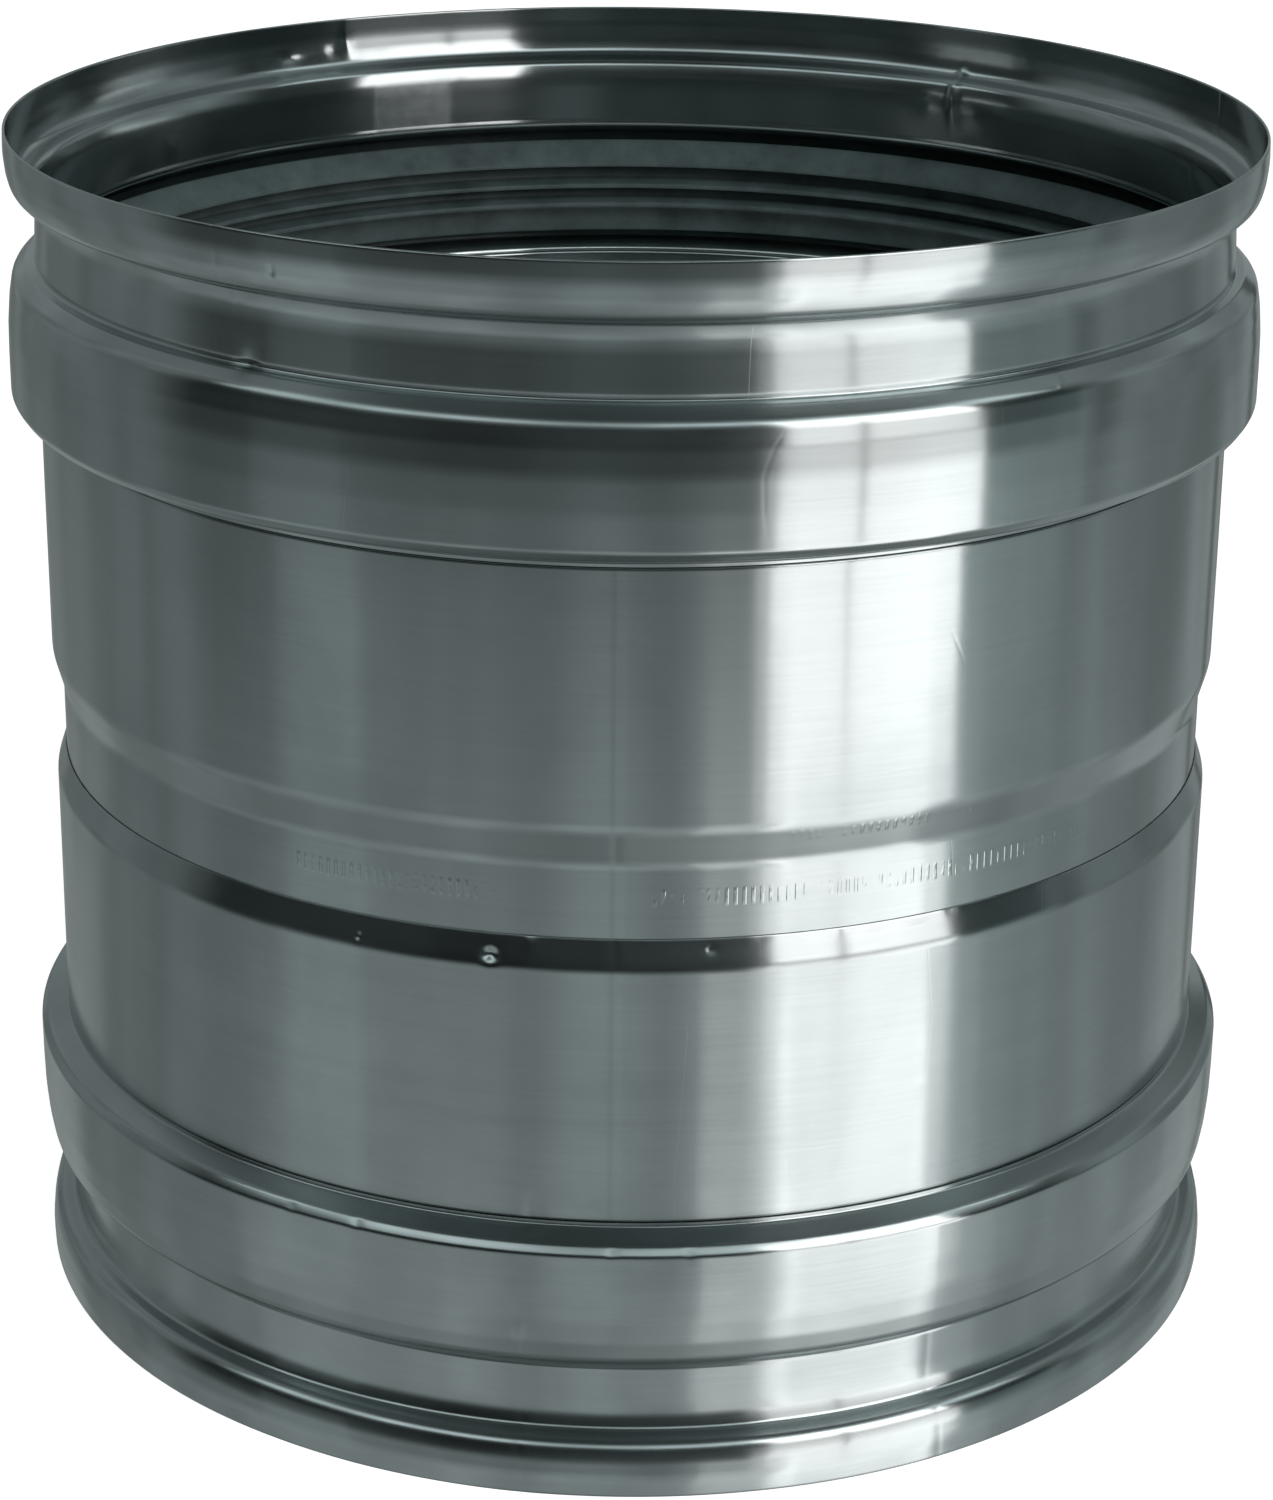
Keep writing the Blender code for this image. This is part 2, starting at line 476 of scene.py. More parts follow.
def stepped(line: Sequence[Point], longest: float = 2.5 * MM,
            beside_bend: float = 0.3 * MM) -> list[Point]:
    """Add points to a line, so that no step is long and each bend has a short step beside it.

    Args:
        line: points of the line.
        longest: longest step.
        beside_bend: length of the first and last step of a straight.

    Returns:
        Points of the finer line.
    """
    made: list[Point] = [line[0]]
    for (r0, h0), (r1, h1) in zip(line, line[1:]):
        length = math.hypot(r1 - r0, h1 - h0)
        shares = [1.0]
        if length > 4 * beside_bend:
            near = beside_bend / length
            count = math.ceil((length - 2 * beside_bend) / longest)
            shares = [near + (1 - 2 * near) * i / count for i in range(count + 1)] + [1.0]
        made += [(r0 + (r1 - r0) * s, h0 + (h1 - h0) * s) for s in shares]
    return made


def sheet_section(face: Sequence[Point], wall: float, thin_edge: float = 1.0,
                  thin_length: float = 4 * MM) -> list[Point]:
    """Give an outer face a wall with rounded cut edges.

    Args:
        face: outer face of the sheet, with the metal on its right when going along it.
        wall: sheet thickness.
        thin_edge: thickness at the first edge, as a share of the wall.
        thin_length: length over which the wall grows from that edge.

    Returns:
        Closed section.
    """
    walked, inner, normals = 0.0, [], []
    for i, (r, h) in enumerate(face):
        r0, h0 = face[max(i - 1, 0)]
        r1, h1 = face[min(i + 1, len(face) - 1)]
        length = math.hypot(r1 - r0, h1 - h0) or 1.0
        normal = ((h1 - h0) / length, -(r1 - r0) / length)
        if i:
            walked += math.hypot(r - face[i - 1][0], h - face[i - 1][1])
        thick = wall * (thin_edge + (1 - thin_edge) * min(1.0, walked / thin_length))
        normals.append((normal, thick))
        inner.append((r + normal[0] * thick, h + normal[1] * thick))

    def cap(index: int, first: bool) -> list[Point]:
        """Round the cut edge from outer to inner face at one end of the sheet."""
        (nr, nh), thick = normals[index]
        tr, th = (nh, -nr) if first else (-nh, nr)
        mid_r, mid_h = face[index][0] + nr * thick / 2, face[index][1] + nh * thick / 2
        points = []
        for angle in (30, 60, 90, 120, 150):
            along, across = math.sin(math.radians(angle)), math.cos(math.radians(angle))
            points.append((mid_r - nr * thick / 2 * across + tr * thick / 2 * along,
                           mid_h - nh * thick / 2 * across + th * thick / 2 * along))
        return points

    return list(face) + cap(len(face) - 1, False) + inner[::-1] + cap(0, True)[::-1]


@dataclass(frozen=True)
class Seam:
    """A flush lengthwise weld: its angle, how far it sinks in, its half width and its ends."""

    angle: float
    sink: float = 0.03 * MM
    half_width: float = 0.7 * MM
    low: float = -1.0
    high: float = 1.0


@dataclass(frozen=True)
class Lap:
    """A lapped patch of sheet: it steps in at one angle and fades out towards another."""

    start: float
    end: float
    low: float
    high: float
    step: float = 0.14 * MM

    def push(self, r: float, z: float, angle: float) -> float:
        """Return how far the patch moves a point inwards; negative is outwards."""
        if not self.low < z < self.high:
            return 0.0
        along = math.remainder(angle - math.radians(self.start), math.tau)
        span = math.remainder(math.radians(self.end - self.start), math.tau)
        share = along / span
        if not -0.05 < share < 1:
            return 0.0
        rise = min(1.0, max(0.0, along * math.copysign(r, span) / (0.5 * MM)))
        ends = min(1.0, (z - self.low) / (1.5 * MM), (self.high - z) / (1.5 * MM))
        return self.step * rise * (1 - share) * ends


@dataclass(frozen=True)
class Nicks:
    """Small nicks along a cut edge: the edge's height, their depth, length and reach."""

    height: float
    depth: float = 0.04 * MM
    length: float = 1.6 * MM
    reach: float = 0.8 * MM


@dataclass(frozen=True)
class Dent:
    """A shallow dent or bump: angle in degrees, height, depth inwards, and two half sizes."""

    angle: float
    height: float
    depth: float
    round_size: float
    up_size: float


@dataclass
class Turner:
    """Turns sections about Z into closed meshes, with the small faults of hand-fed rolls."""

    segments: int = 360
    ovality: float = 0.12 * MM
    ripple: float = 0.035 * MM
    ripple_size: float = 38 * MM
    seams: Sequence[Seam] = ()
    dents: Sequence[Dent] = ()
    laps: Sequence[Lap] = ()
    nicks: Sequence[Nicks] = ()
    seed: float = 0.0
    closest: float = 0.07           # smallest step round, in degrees

    def angles(self) -> list[float]:
        """Return the angles of all steps round, close together at seams and small dents."""
        found = {round(360 * i / self.segments, 4) for i in range(self.segments)}
        # Each mark has its angle, its reach to both sides and its step, all in degrees.
        marks = [(s.angle, 1.2, 0.15) for s in self.seams]
        marks += [(lap.start, 1.0, 0.1) for lap in self.laps]
        marks += [(d.angle, math.degrees(2.5 * d.round_size / WALL_RADIUS),
                   math.degrees(0.3 * d.round_size / WALL_RADIUS)) for d in self.dents]
        for angle, reach, step in marks:
            for i in range(int(2 * reach / step) + 1):
                found.add(round((angle - reach + i * step) % 360, 4))
        ordered = sorted(found)
        kept = [ordered[0]]
        for angle in ordered[1:]:
            if angle - kept[-1] > self.closest:
                kept.append(angle)
        return [math.radians(a) for a in kept]

    def push(self, r: float, z: float, angle: float) -> float:
        """Return how far a point lies outside its ideal radius.

        Args:
            r: ideal radius.
            z: height.
            angle: angle round the axis, 0 towards the front and positive to the right.

        Returns:
            Distance outwards.
        """
        x, y = r * math.sin(angle), -r * math.cos(angle)
        spot = Vector((x, y, z * 0.7)) / self.ripple_size + Vector((self.seed, 0.0, 7.3))
        out = self.ovality * math.cos(2 * angle + self.seed)
        out += self.ripple * 2 * noise.noise(spot)
        out += self.ripple * 0.5 * noise.noise(spot * 2.7)
        for seam in self.seams:
            off = math.remainder(angle - math.radians(seam.angle), math.tau) * r
            if seam.low < z < seam.high:
                out -= seam.sink * math.exp(-((off / seam.half_width) ** 2))
        for lap in self.laps:
            out -= lap.push(r, z, angle)
        for nick in self.nicks:
            fall = ((z - nick.height) / nick.reach) ** 2
            if fall < 6:
                where = Vector((x, y, 0.0)) / nick.length + Vector((0, 0, self.seed))
                out += nick.depth * noise.noise(where) * math.exp(-fall)
        for dent in self.dents:
            off = math.remainder(angle - math.radians(dent.angle), math.tau) * r
            fall = (off / dent.round_size) ** 2 + ((z - dent.height) / dent.up_size) ** 2
            if fall < 9:
                out -= dent.depth * math.exp(-fall)
        return out

    def turn(self, name: str, section: Sequence[Point], material: Material) -> Object:
        """Turn a closed section of (radius, height) points about Z.

        Args:
            name: name of the piece.
            section: closed section.
            material: its material.

        Returns:
            The new object, linked to the scene.
        """
        build = bmesh.new()
        rings = []
        for angle in self.angles():
            across, ahead = math.sin(angle), -math.cos(angle)
            ring = []
            for r, z in section:
                out = r + self.push(r, z, angle)
                ring.append(build.verts.new((out * across, out * ahead, z)))
            rings.append(ring)
        count = len(section)
        for i, ring in enumerate(rings):
            following = rings[(i + 1) % len(rings)]
            for j in range(count):
                k = (j + 1) % count
                build.faces.new((ring[j], following[j], following[k], ring[k]))
        bmesh.ops.recalc_face_normals(build, faces=build.faces)
        mesh = bpy.data.meshes.new(name)
        build.to_mesh(mesh)
        build.free()
        mesh.polygons.foreach_set("use_smooth", [True] * len(mesh.polygons))
        mesh.materials.append(material)
        piece = bpy.data.objects.new(name, mesh)
        bpy.context.scene.collection.objects.link(piece)
        return piece


def place(piece: Object, node: str, body: str, slot: Slot) -> None:
    """Make a piece stand for a CAD node and ride on its body."""
    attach(piece, body)
    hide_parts(node)
    LOG.info("%s stands for %s on %s, %d faces", piece.name, node, body, len(piece.data.polygons))


# Sub-assemblies ------------------------------------------------------------------------------------


@dataclass
class SocketRing:
    """Pressed ring at one end: flared lip, neck that guides the pipe, and gasket bead."""

    end: End
    body: str
    rim: float                      # height of the rim
    steel: Material
    turner: Turner
    wall: float = 0.5 * MM
    rim_radius: float = 105.5 * MM
    lip_radius: float = 104.5 * MM
    lip_depth: float = 9.2 * MM
    neck_radius: float = 100.73 * MM
    neck_end: float = 21.9 * MM
    bead_radius: float = 105.9 * MM
    bead_start: float = 24.7 * MM
    bead_end: float = 44.6 * MM
    ring_end: float = 47.6 * MM
    body_radius: float = 101.0 * MM
    tail_radius: float = 100.25 * MM
    tail_end: float = 52.0 * MM

    def face(self) -> list[Point]:
        """Return the outer face from rim to tail, as radius and depth below the rim."""
        edge = self.wall / 2
        corners = [
            Corner(self.rim_radius - 0.12 * MM, edge),
            Corner(self.rim_radius, 3.4 * MM, 12 * MM),
            Corner(self.rim_radius - 0.3 * MM, 6.4 * MM, 7 * MM),
            Corner(self.lip_radius, self.lip_depth, 2.6 * MM),
            Corner(self.neck_radius + 0.6 * MM, self.lip_depth + 1.0 * MM, 1.0 * MM),
            Corner(self.neck_radius, self.lip_depth + 3.2 * MM, 4.5 * MM),
            Corner(self.neck_radius, self.lip_depth + 5.4 * MM, 20 * MM),
            Corner(self.neck_radius + 0.3 * MM, self.neck_end - 1.0 * MM, 1.0 * MM),
            Corner(self.neck_radius + 0.1 * MM, self.neck_end, 0.6 * MM),
            Corner(self.neck_radius + 1.8 * MM, self.neck_end + 0.35 * MM, 0.9 * MM),
            Corner(self.bead_radius - 1.1 * MM, self.bead_start - 0.4 * MM, 2.6 * MM),
            Corner(self.bead_radius - 0.5 * MM, self.bead_start + 3.2 * MM, 8 * MM),
            Corner(self.bead_radius - 0.12 * MM, self.bead_start + 7.5 * MM, 25 * MM),
            Corner(self.bead_radius, self.bead_start + 13.0 * MM, 60 * MM),
            Corner(self.bead_radius, self.bead_end - 0.9 * MM, 1.2 * MM),
            Corner(self.bead_radius - 1.0 * MM, self.bead_end + 0.55 * MM, 1.3 * MM),
            Corner(self.body_radius, self.ring_end - 1.1 * MM, 1.6 * MM),
            Corner(self.body_radius, self.ring_end - 0.42 * MM, 0.1 * MM),
            Corner(self.tail_radius, self.ring_end - 0.32 * MM, 0.1 * MM),
            Corner(self.tail_radius, self.tail_end),
        ]
        return stepped(rounded(corners, math.radians(14)), 2.0 * MM)

    def build(self) -> Object:
        """Make the ring and place it."""
        face = [(r, -depth) for r, depth in self.face()]
        section = [(r, self.end.height(self.rim, -h)) for r, h in sheet_section(face, self.wall)]
        piece = self.turner.turn(f"{self.end.value}_socket_pressing", section, self.steel)
        place(piece, f"{self.end.value}_socket_ring", self.body, Slot.SHEET)
        return piece


@dataclass
class LipGasket:
    """Moulded ring in the bead: a band against the metal, one wide lip and two ridges."""

    end: End
    body: str
    rim: float
    silicone: Material
    turner: Turner
    back: float = 105.05 * MM
    front: float = 103.05 * MM
    top: float = 26.6 * MM
    bottom: float = 42.8 * MM
    lip_root: float = 25.2 * MM
    lip_tip: float = 29.4 * MM
    lip_radius: float = 98.9 * MM
    ridge_radius: float = 99.4 * MM
    ridges: tuple[float, float] = (33.9 * MM, 37.6 * MM)
    edge: float = 0.8 * MM
    root: float = 2.4 * MM

    def section(self) -> list[Point]:
        """Return the closed section, as radius and depth below the rim."""
        tip = 0.35 * MM
        corners = [Corner(self.back, (self.top + self.bottom) / 2),
                   Corner(self.back, self.bottom, 0.5 * MM),
                   Corner(self.front, self.bottom + 1.0 * MM, 0.5 * MM)]
        for ridge in reversed(self.ridges):
            corners += [Corner(self.front, ridge + self.root / 2, 0.5 * MM),
                        Corner(self.ridge_radius, ridge + self.edge / 2, tip),
                        Corner(self.ridge_radius, ridge - self.edge / 2, tip),
                        Corner(self.front, ridge - self.root / 2, 0.5 * MM)]
        corners += [Corner(self.front, self.lip_root + 2 * MM, 0.5 * MM),
                    Corner(self.lip_radius, self.lip_tip + self.edge, tip),
                    Corner(self.lip_radius, self.lip_tip, tip),
                    Corner(self.front, self.lip_root, 0.5 * MM),
                    Corner(self.back - 0.9 * MM, self.top, 0.5 * MM),
                    Corner(self.back - 0.3 * MM, self.top + 3.4 * MM, 8 * MM),
                    Corner(self.back, (self.top + self.bottom) / 2)]
        return stepped(rounded(corners, math.radians(15)), 1.2 * MM)[:-1]

    def build(self) -> Object:
        """Make the gasket and place it."""
        section = [(r, self.end.height(self.rim, depth)) for r, depth in self.section()]
        piece = self.turner.turn(f"{self.end.value}_gasket_moulding", section, self.silicone)
        place(piece, f"{self.end.value}_gasket", self.body, Slot.SILICONE)
        return piece


@dataclass
class TelescopingSleeves:
    """The two plain tubes. The upper one is necked in and slides inside the lower one's lip."""

    steel: Material
    marked_steel: Material
    upper_turner: Turner
    lower_turner: Turner
    wall: float = 0.5 * MM
    body_radius: float = 101.0 * MM
    upper_top: float = 155.4 * MM
    lower_bottom: float = 47.6 * MM
    neck_top: float = 113.6 * MM
    neck_bottom: float = 107.4 * MM
    spigot_radius: float = 99.3 * MM
    spigot_end: float = 65.4 * MM
    lip_top: float = 95.2 * MM
    lip_bend: float = 90.6 * MM
    lip_edge: float = 99.51 * MM
    lip_edge_share: float = 0.3

    def build(self) -> list[Object]:
        """Make both tubes and place them."""
        upper = stepped(rounded([
            Corner(self.body_radius, self.upper_top),
            Corner(self.body_radius, self.neck_top, 7 * MM),
            Corner(self.spigot_radius, self.neck_bottom, 6 * MM),
            Corner(self.spigot_radius, self.spigot_end)]))
        bent_end = self.lip_bend - 2 * MM
        lower = stepped(rounded([
            Corner(self.lip_edge, self.lip_top),
            Corner(self.body_radius, self.lip_bend, 4 * MM),
            Corner(self.body_radius, bent_end)]), 0.45 * MM)
        lower += stepped([(self.body_radius, bent_end), (self.body_radius, self.lower_bottom)])[1:]
        upper_tube = self.upper_turner.turn(
            "upper_sleeve_tube", sheet_section(upper, self.wall), self.marked_steel)
        lower_tube = self.lower_turner.turn(
            "lower_sleeve_tube",
            sheet_section(lower, self.wall, self.lip_edge_share), self.steel)
        place(upper_tube, "upper_sleeve", "upper_body", Slot.SHEET)
        place(lower_tube, "lower_sleeve", "lower_body", Slot.SHEET)
        return [upper_tube, lower_tube]


@dataclass
class SlidingSeal:
    """Graphite band between the tubes, the hoop under it, and the stop hoop on the spigot."""

    steel: Material
    graphite: Material
    turner: Turner
    bend: float = 0.15 * MM

    def build(self) -> list[Object]:
        """Make the three rings and place them."""
        made = []
        for name, node, body, material, slot in (
                ("seal_band_foil", "seal_band", "lower_body", self.graphite, Slot.GRAPHITE),
                ("seal_retainer_hoop", "seal_retainer", "lower_body", self.steel, Slot.SHEET),
                ("spigot_stop_hoop", "spigot_stop_ring", "upper_body", self.steel,
                 Slot.SHEET)):
            low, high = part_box(node)
            outer, inner = high.x, high.x - 0.5 * MM
            middle = (low.z + high.z) / 2
            corners = [Corner(outer, middle), Corner(outer, high.z, self.bend),
                       Corner(inner, high.z, self.bend), Corner(inner, low.z, self.bend),
                       Corner(outer, low.z, self.bend), Corner(outer, middle)]
            section = stepped(rounded(corners, math.radians(20)), 1.5 * MM, 0.1 * MM)[:-1]
            piece = self.turner.turn(name, section, material)
            place(piece, node, body, slot)
            made.append(piece)
        return made


# Studio ------------------------------------------------------


@dataclass(frozen=True)
class Panel:
    """An upright soft light: the bearings of its sides, its lower and upper angle, its glow.

    Bearings are in degrees round the object, 0 towards the camera and positive to its right.
    """

    name: str
    left: float
    right: float
    low: float
    high: float
    glow: float
    distance: float = 1.6
    middle: float = 0.1             # height of the object's middle
    colour: str = "#FFF8F7"

    def build(self) -> None:
        """Make the light, facing the middle of the object."""
        bearing = math.radians((self.left + self.right) / 2)
        half = math.radians((self.right - self.left) / 2)
        low, high = math.radians(self.low), math.radians(self.high)
        rise = (low + high) / 2
        width = 2 * self.distance * math.tan(half)
        height = 2 * self.distance * math.tan((high - low) / 2)
        lamp = bpy.data.lights.new(self.name, "AREA")
        lamp.shape = "RECTANGLE"
        lamp.size, lamp.size_y = width, height
        lamp.energy = self.glow * math.pi * width * height
        lamp.color = linear(self.colour)[:3]
        light = bpy.data.objects.new(self.name, lamp)
        away = Vector((math.sin(bearing) * math.cos(rise), -math.cos(bearing) * math.cos(rise),
                       math.sin(rise)))
        light.location = Vector((0, 0, self.middle)) + away * self.distance
        light.rotation_euler = away.to_track_quat("Z", "Y").to_euler()
        light.visible_camera = False
        bpy.context.scene.collection.objects.link(light)
        LOG.info("light %s, %.2f x %.2f m", self.name, width, height)


@dataclass(frozen=True)
class RoomPatch:
    """A part of the room that is darker or lighter than its surroundings, with soft sides.

    Bearings and angles are in degrees, as for a panel.
    """

    bearing: float
    half_width: float
    low: float
    high: float
    share: float
    soft: float = 4.0               # beyond each side
    fade: float = 5.0               # both ways from the lower and upper angle

    def add(self, tree: NodeTree, bearing: Node, rise: NodeSocket, strength: Node) -> Node:
        """Multiply the room's strength by this patch's share.

        Args:
            tree: node tree of the room.
            bearing: node that gives the direction's bearing, in radians.
            rise: sine of its angle above the floor.
            strength: node that gives the strength so far.

        Returns:
            The node that gives the new strength.
        """
        middle, half, soft = (math.radians(x) for x in (self.bearing, self.half_width, self.soft))
        aside = add_node(tree, "Math", {"operation": "SUBTRACT"}, {0: bearing, 1: middle})
        aside = add_node(tree, "Math", {"operation": "ABSOLUTE"}, {0: aside})
        inside = add_node(tree, "MapRange", inputs={
            "Value": aside, "From Min": half + soft, "From Max": half})
        fade = math.sin(math.radians(self.fade))
        for angle, side in ((self.low, 1), (self.high, -1)):
            edge = math.sin(math.radians(angle))
            level = add_node(tree, "MapRange", inputs={
                "Value": rise, "From Min": edge - side * fade, "From Max": edge + side * fade})
            inside = add_node(tree, "Math", {"operation": "MULTIPLY"}, {0: inside, 1: level})
        share = add_node(tree, "MapRange", inputs={
            "Value": inside, "To Min": 1.0, "To Max": self.share})
        return add_node(tree, "Math", {"operation": "MULTIPLY"}, {0: strength, 1: share})


@dataclass
class Studio:
    """Pale floor, soft panels and the camera."""

    reach: float = 6.0              # radius of the round floor
    wall_height: float = 12.0
    floor_sides: int = 48
    floor_colour: str = "#F9F9F9"
    floor_glow: float = 0.95
    lens: float = 91.487
    sensor: float = 36.0
    camera_place: tuple[float, float, float] = (0.0, -0.63659, 0.32974)
    pitch: float = math.radians(20.728)
    yaw: float = math.radians(0.0932)
    roll: float = math.radians(0.5784)
    panels: tuple[Panel, ...] = (
        Panel("window_left_pane", 25, 38.6, -21.5, -5, 1.9),
        Panel("window_left_edge", 22, 25, -21.5, -5, 0.6),
        Panel("window_right_pane", 39.8, 61.5, -21.5, -5, 2.0),
        Panel("window_left_glow", 14.5, 30, -42, -21.5, 0.5),
        Panel("window_right_glow", 30, 57, -42, -21.5, 1.4),
        Panel("window_right_edge", 57, 62, -42, -21.5, 0.5),
        Panel("window_rail", 25, 61.5, -5, 5, 0.6),
        Panel("window_left_sky", 26, 38.6, 5, 38, 2.8),
        Panel("window_right_sky", 39.8, 60.5, 5, 38, 2.8),
        Panel("window_on_floor", 12, 68, -60, -20, 0.1),
        Panel("far_window", -67.5, -51, -26, -6, 0.1, colour="#DCE8E8"),
    )
    front_room: tuple[tuple[float, str], ...] = (
        (-90, "#555B5B"), (-70, "#707676"), (-50, "#979D9D"), (-33, "#B4BABA"),
        (-24, "#B0B7B7"), (-20, "#98A0A0"), (-17, "#828989"), (-14, "#5E6565"),
        (-9, "#3E4444"), (-3, "#272D2D"), (15, "#2A3030"), (28, "#2D3131"),
        (40, "#2F3131"), (55, "#2E3333"), (90, "#3A4242"))
    back_room: tuple[tuple[float, str], ...] = (
        (-90, "#555B5B"), (-50, "#979D9D"), (-30, "#A0A6A6"), (-14, "#828989"),
        (0, "#858C8C"), (30, "#949B9B"), (60, "#8A9191"), (90, "#4A5151"))
    clutter: float = 0.26           # how far the room's strength varies either way
    clutter_scale: float = 3.2
    dim_side: float = 0.78          # strength of the room on the left
    patches: tuple[RoomPatch, ...] = (
        RoomPatch(-27, 7, -11, 25, 0.3, 5),
        RoomPatch(0, 78, 33, 48, 48, 12),
        RoomPatch(68, 14, -15, 3, 4.5, 8),
        RoomPatch(154.5, 1.8, -50, 50, 0.25, 0.8),
        RoomPatch(168, 11, -50, 50, 1.15, 2.0),
    )

    def build(self) -> None:
        """Make the floor, the surroundings, the lights and the camera."""
        self._floor()
        self._surroundings()
        for panel in self.panels:
            panel.build()
        self._camera()
        bpy.context.scene.view_settings.view_transform = "Standard"

    def _floor(self) -> None:
        """Make a floor that only the camera and soft light see, and a wall for the camera."""
        paint = bpy.data.materials.new("studio_floor_paint")
        paint.use_nodes = True
        feed(paint.node_tree, paint.node_tree.nodes["Principled BSDF"], {
            "Base Color": linear("#BFBFBF"), "Roughness": 0.9, "Specular IOR Level": 0.0,
            "Emission Color": linear(self.floor_colour), "Emission Strength": self.floor_glow})
        reach, sides = self.reach, self.floor_sides
        spots = [(reach * math.cos(math.tau * i / sides), reach * math.sin(math.tau * i / sides))
                 for i in range(sides)]
        low, high = ([(x, y, z) for x, y in spots] for z in (0.0, self.wall_height))
        walls = [(i, (i + 1) % sides, sides + (i + 1) % sides, sides + i) for i in range(sides)]
        for name, verts, faces in (("studio_floor", low, [tuple(range(sides))]),
                                   ("studio_wall", low + high, walls)):
            mesh = bpy.data.meshes.new(name)
            mesh.from_pydata(verts, [], faces)
            mesh.materials.append(paint)
            piece = bpy.data.objects.new(name, mesh)
            bpy.context.scene.collection.objects.link(piece)
            piece.visible_glossy = False
            piece.visible_shadow = False
            piece.visible_diffuse = name == "studio_floor"

    def _surroundings(self) -> None:
        """Make the soft light of the room: pale below, dim above, bright behind the object."""
        world = bpy.data.worlds.new("studio_room")
        bpy.context.scene.world = world
        world.use_nodes = True
        tree = world.node_tree
        toward = add_node(tree, "TexCoord").outputs["Generated"]
        way = add_node(tree, "SeparateXYZ", inputs={"Vector": toward})
        feed(tree, tree.nodes["Background"], {
            "Color": self._room_colour(tree, way),
            "Strength": self._room_strength(tree, toward, way)})

    def _room_colour(self, tree: NodeTree, way: Node) -> Node:
        """Add the room's colours by height, in front and behind.

        Args:
            tree: node tree of the room.
            way: node that splits the direction into X, Y and Z.

        Returns:
            The node that gives it.
        """
        height = add_node(tree, "MapRange", inputs={
            "Value": way.outputs["Z"], "From Min": -1.0, "From Max": 1.0})
        ramps = []
        for stops in (self.front_room, self.back_room):
            ramp = add_node(tree, "ValToRGB", inputs={"Fac": height})
            elements = ramp.color_ramp.elements
            elements.remove(elements[1])
            for index, (angle, colour) in enumerate(stops):
                position = (math.sin(math.radians(angle)) + 1) / 2
                element = elements.new(position) if index else elements[0]
                element.position, element.color = position, linear(colour)
            ramps.append(ramp)
        back = add_node(tree, "MapRange", inputs={
            "Value": way.outputs["Y"], "From Min": -0.12, "From Max": 0.12})
        return add_node(tree, "Mix", {"data_type": "RGBA"}, {0: back, 6: ramps[0], 7: ramps[1]})

    def _room_strength(self, tree: NodeTree, toward: NodeSocket, way: Node) -> Node:
        """Add the room's strength: dimmer on the left, cluttered, and with its patches.

        Args:
            tree: node tree of the room.
            toward: the direction.
            way: node that splits it into X, Y and Z.

        Returns:
            The node that gives it.
        """
        strength = add_node(tree, "MapRange", inputs={
            "Value": way.outputs["X"], "From Min": -0.8, "From Max": 0.4,
            "To Min": self.dim_side, "To Max": 1.0})
        clutter = add_node(tree, "TexNoise", inputs={
            "Vector": toward, "Scale": self.clutter_scale, "Detail": 2.5, "Roughness": 0.6})
        varied = add_node(tree, "MapRange", inputs={
            "Value": clutter, "From Min": 0.36, "From Max": 0.64,
            "To Min": 1.0 - self.clutter, "To Max": 1.0 + self.clutter})
        strength = add_node(tree, "Math", {"operation": "MULTIPLY"}, {0: strength, 1: varied})
        away = add_node(tree, "Math", {"operation": "MULTIPLY"}, {0: way.outputs["Y"], 1: -1.0})
        bearing = add_node(tree, "Math", {"operation": "ARCTAN2"}, {0: way.outputs["X"], 1: away})
        for patch in self.patches:
            strength = patch.add(tree, bearing, way.outputs["Z"], strength)
        return strength

    def _camera(self) -> None:
        """Make the camera."""
        data = bpy.data.cameras.new("studio_camera")
        data.sensor_width, data.lens = self.sensor, self.lens
        camera = bpy.data.objects.new("studio_camera", data)
        forward = Vector((math.sin(self.yaw) * math.cos(self.pitch),
                          math.cos(self.yaw) * math.cos(self.pitch), -math.sin(self.pitch)))
        level = Vector((math.cos(self.yaw), -math.sin(self.yaw), 0))
        upright = level.cross(forward)
        right = math.cos(self.roll) * level + math.sin(self.roll) * upright
        above = -math.sin(self.roll) * level + math.cos(self.roll) * upright
        pose = Matrix((right, above, -forward)).transposed().to_4x4()
        pose.translation = Vector(self.camera_place)
        camera.matrix_world = pose
        bpy.context.scene.collection.objects.link(camera)
        bpy.context.scene.camera = camera


def dents(*rows: tuple[float, float, float, float, float]) -> tuple[Dent, ...]:
    """Make dents from rows of an angle in degrees and Dent's lengths in millimetres."""
    return tuple(Dent(angle, *(length * MM for length in lengths)) for angle, *lengths in rows)


def upper_ring_turner() -> Turner:
    """Return the turner of the upper ring: three welds, a ground lap, and handling dents."""
    return Turner(
        segments=240, ripple=0.06 * MM, seed=1.7,
        seams=(Seam(-36, low=180 * MM), Seam(38.8, 0.015 * MM, low=180 * MM),
               Seam(104, 0.06 * MM, low=186 * MM)),
        laps=(Lap(-150.1, -163.0, 180.5 * MM, 192.5 * MM),),
        dents=dents(
            (-34.8, 181.2, 0.30, 1.6, 1.2), (-30.3, 197.3, 0.12, 0.5, 0.5),
            (37.9, 179.6, -0.10, 0.8, 0.6), (-140.9, 196.9, -0.30, 2.2, 0.8),
            (-143.6, 196.6, 0.16, 2.6, 0.7), (-148.2, 198.9, -0.30, 1.2, 2.0),
            (-146.6, 197.2, 0.18, 1.8, 0.9), (143.6, 190.5, 0.35, 1.2, 4.0),
            (146.5, 189.0, -0.30, 3.0, 1.6), (141.0, 187.5, -0.30, 3.5, 1.8),
            (143.8, 194.2, 0.35, 1.0, 0.8), (-122.0, 185.5, 0.30, 1.8, 1.2)))


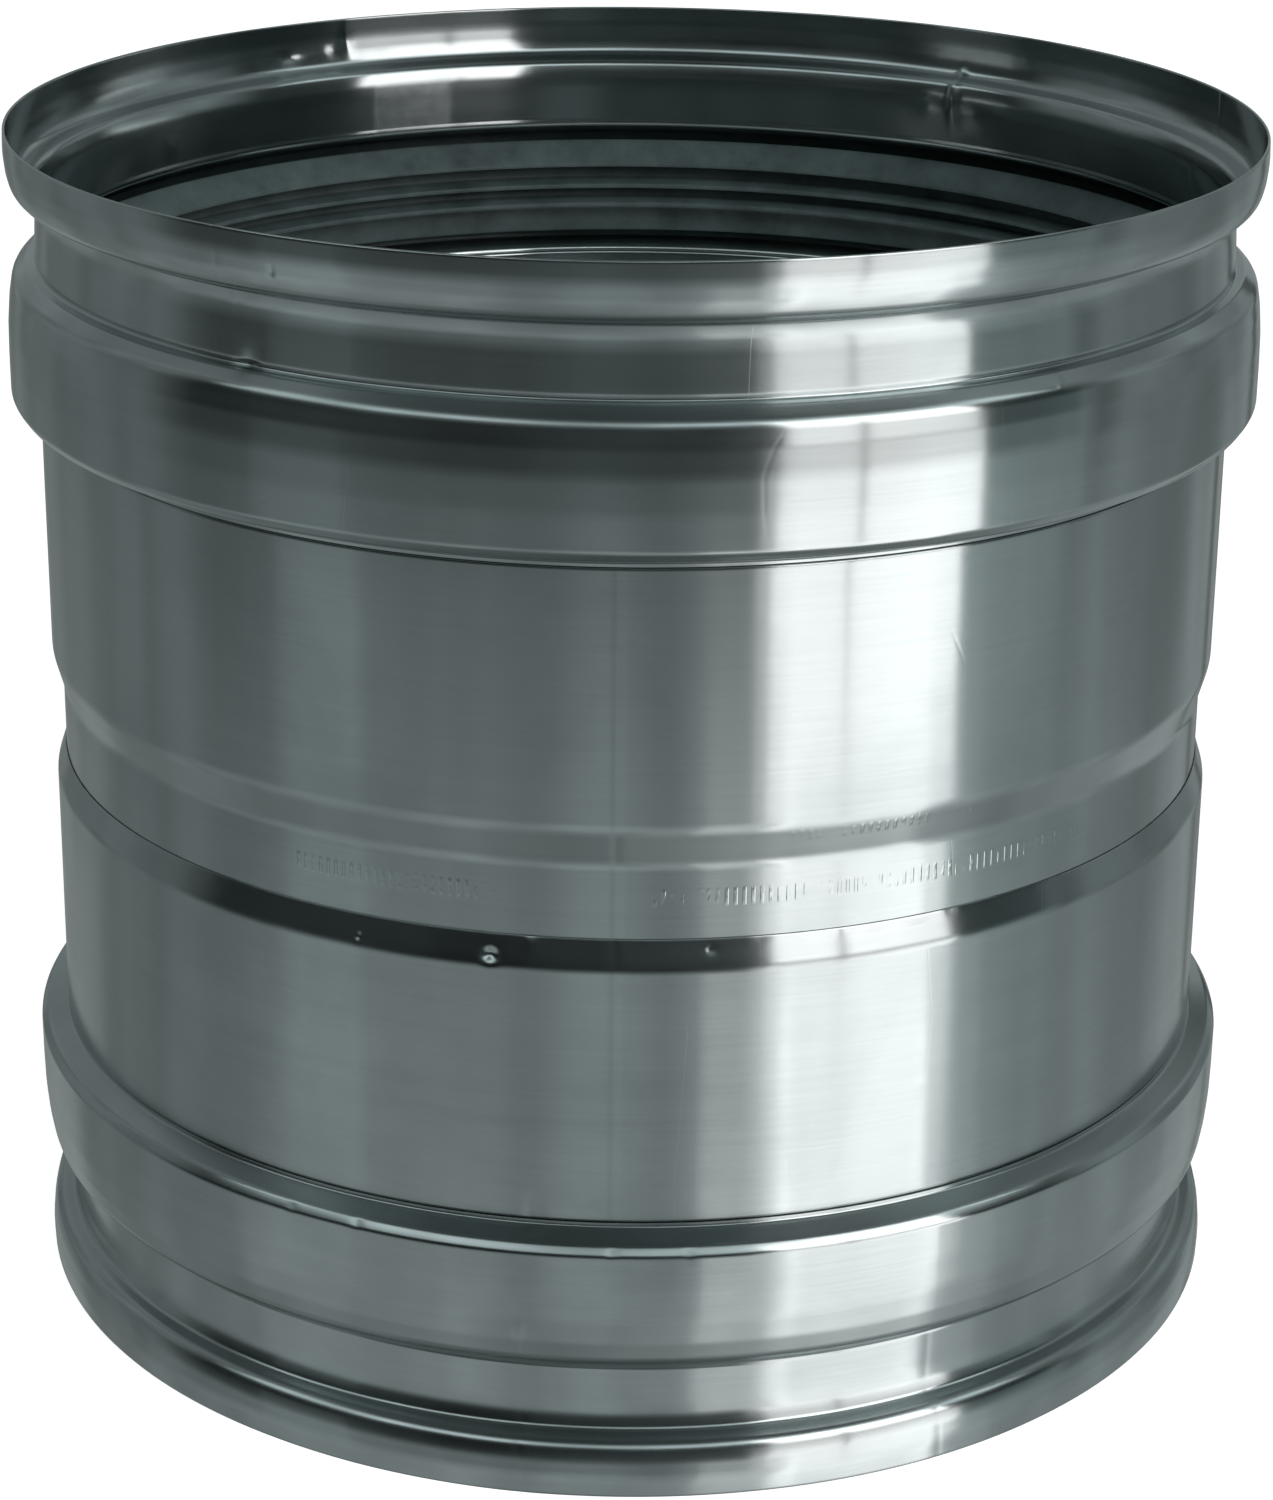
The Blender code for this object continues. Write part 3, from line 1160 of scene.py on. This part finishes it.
def lower_ring_turner() -> Turner:
    """Return the turner of the lower ring: three welds and the dents of its handling."""
    return Turner(
        segments=240, ripple=0.06 * MM, seed=4.1,
        seams=(Seam(-9.4, high=31 * MM), Seam(29.3, 0.015 * MM, high=23 * MM),
               Seam(140, 0.05 * MM)),
        dents=dents(
            (-9.2, 30.0, 0.10, 1.5, 2.0), (-1.2, 44.3, 0.12, 0.9, 0.6),
            (5.4, 44.1, 0.12, 0.9, 0.6), (-24.0, 44.3, 0.12, 0.9, 0.6),
            (-30.6, 44.3, 0.12, 0.9, 0.6)))


def sleeve_turners() -> tuple[Turner, Turner]:
    """Return the turners of the upper and lower sleeve, whose welds stand in line."""
    weld, seed = Seam(-1.2, 0.04 * MM), 2.9
    return Turner(seams=(weld,), seed=seed), Turner(
        segments=600, seams=(weld,), nicks=(Nicks(95.0 * MM),), seed=seed,
        dents=dents(
            (-8.7, 94.3, -0.15, 1.0, 0.9), (-12.3, 91.9, 0.72, 1.15, 0.95),
            (-24.8, 91.9, 0.25, 0.6, 0.5), (7.3, 93.6, 0.15, 0.9, 0.7),
            (-8.5, 48.4, 0.15, 1.5, 1.5)))


def main() -> None:
    """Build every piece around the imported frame, then the studio."""
    logging.basicConfig(level=logging.INFO, format="%(name)s: %(message)s")
    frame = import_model()
    LOG.info("frame with %d nodes", len(frame["nodes"]))
    steel = ColdRolledStainless().build()
    marked_steel = ColdRolledStainless(
        name="cold_rolled_stainless_roller_marked", tick_zones=(
            Zone(2, 47, 100.8 * MM, 103.3 * MM), Zone(14, 32, 111.2 * MM, 112.6 * MM),
            Zone(-32, -12, 100.8 * MM, 103.3 * MM))).build()
    ground_steel = ColdRolledStainless(
        name="cold_rolled_stainless_ground_weld", ground_zones=(
            Zone(-150, -159, 181.5 * MM, 191.5 * MM, 0.8 * MM),
            Zone(-153, -137, 195.2 * MM, 198.6 * MM, 1.2 * MM))).build()
    silicone = MouldedSilicone().build()
    graphite = GraphiteFoil().build()
    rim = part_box("upper_socket_ring")[1].z
    for end, body, height, sheet, turner in (
            (End.UPPER, "upper_body", rim, ground_steel, upper_ring_turner()),
            (End.LOWER, "lower_body", 0.0, steel, lower_ring_turner())):
        SocketRing(end, body, height, sheet, turner).build()
        LipGasket(end, body, height, silicone,
                  Turner(segments=256, ripple=0.02 * MM, seed=turner.seed)).build()
    TelescopingSleeves(steel, marked_steel, *sleeve_turners()).build()
    SlidingSeal(steel, graphite, Turner(segments=192, ovality=0.0, ripple=0.0)).build()
    Studio().build()


if __name__ == "__main__":
    main()
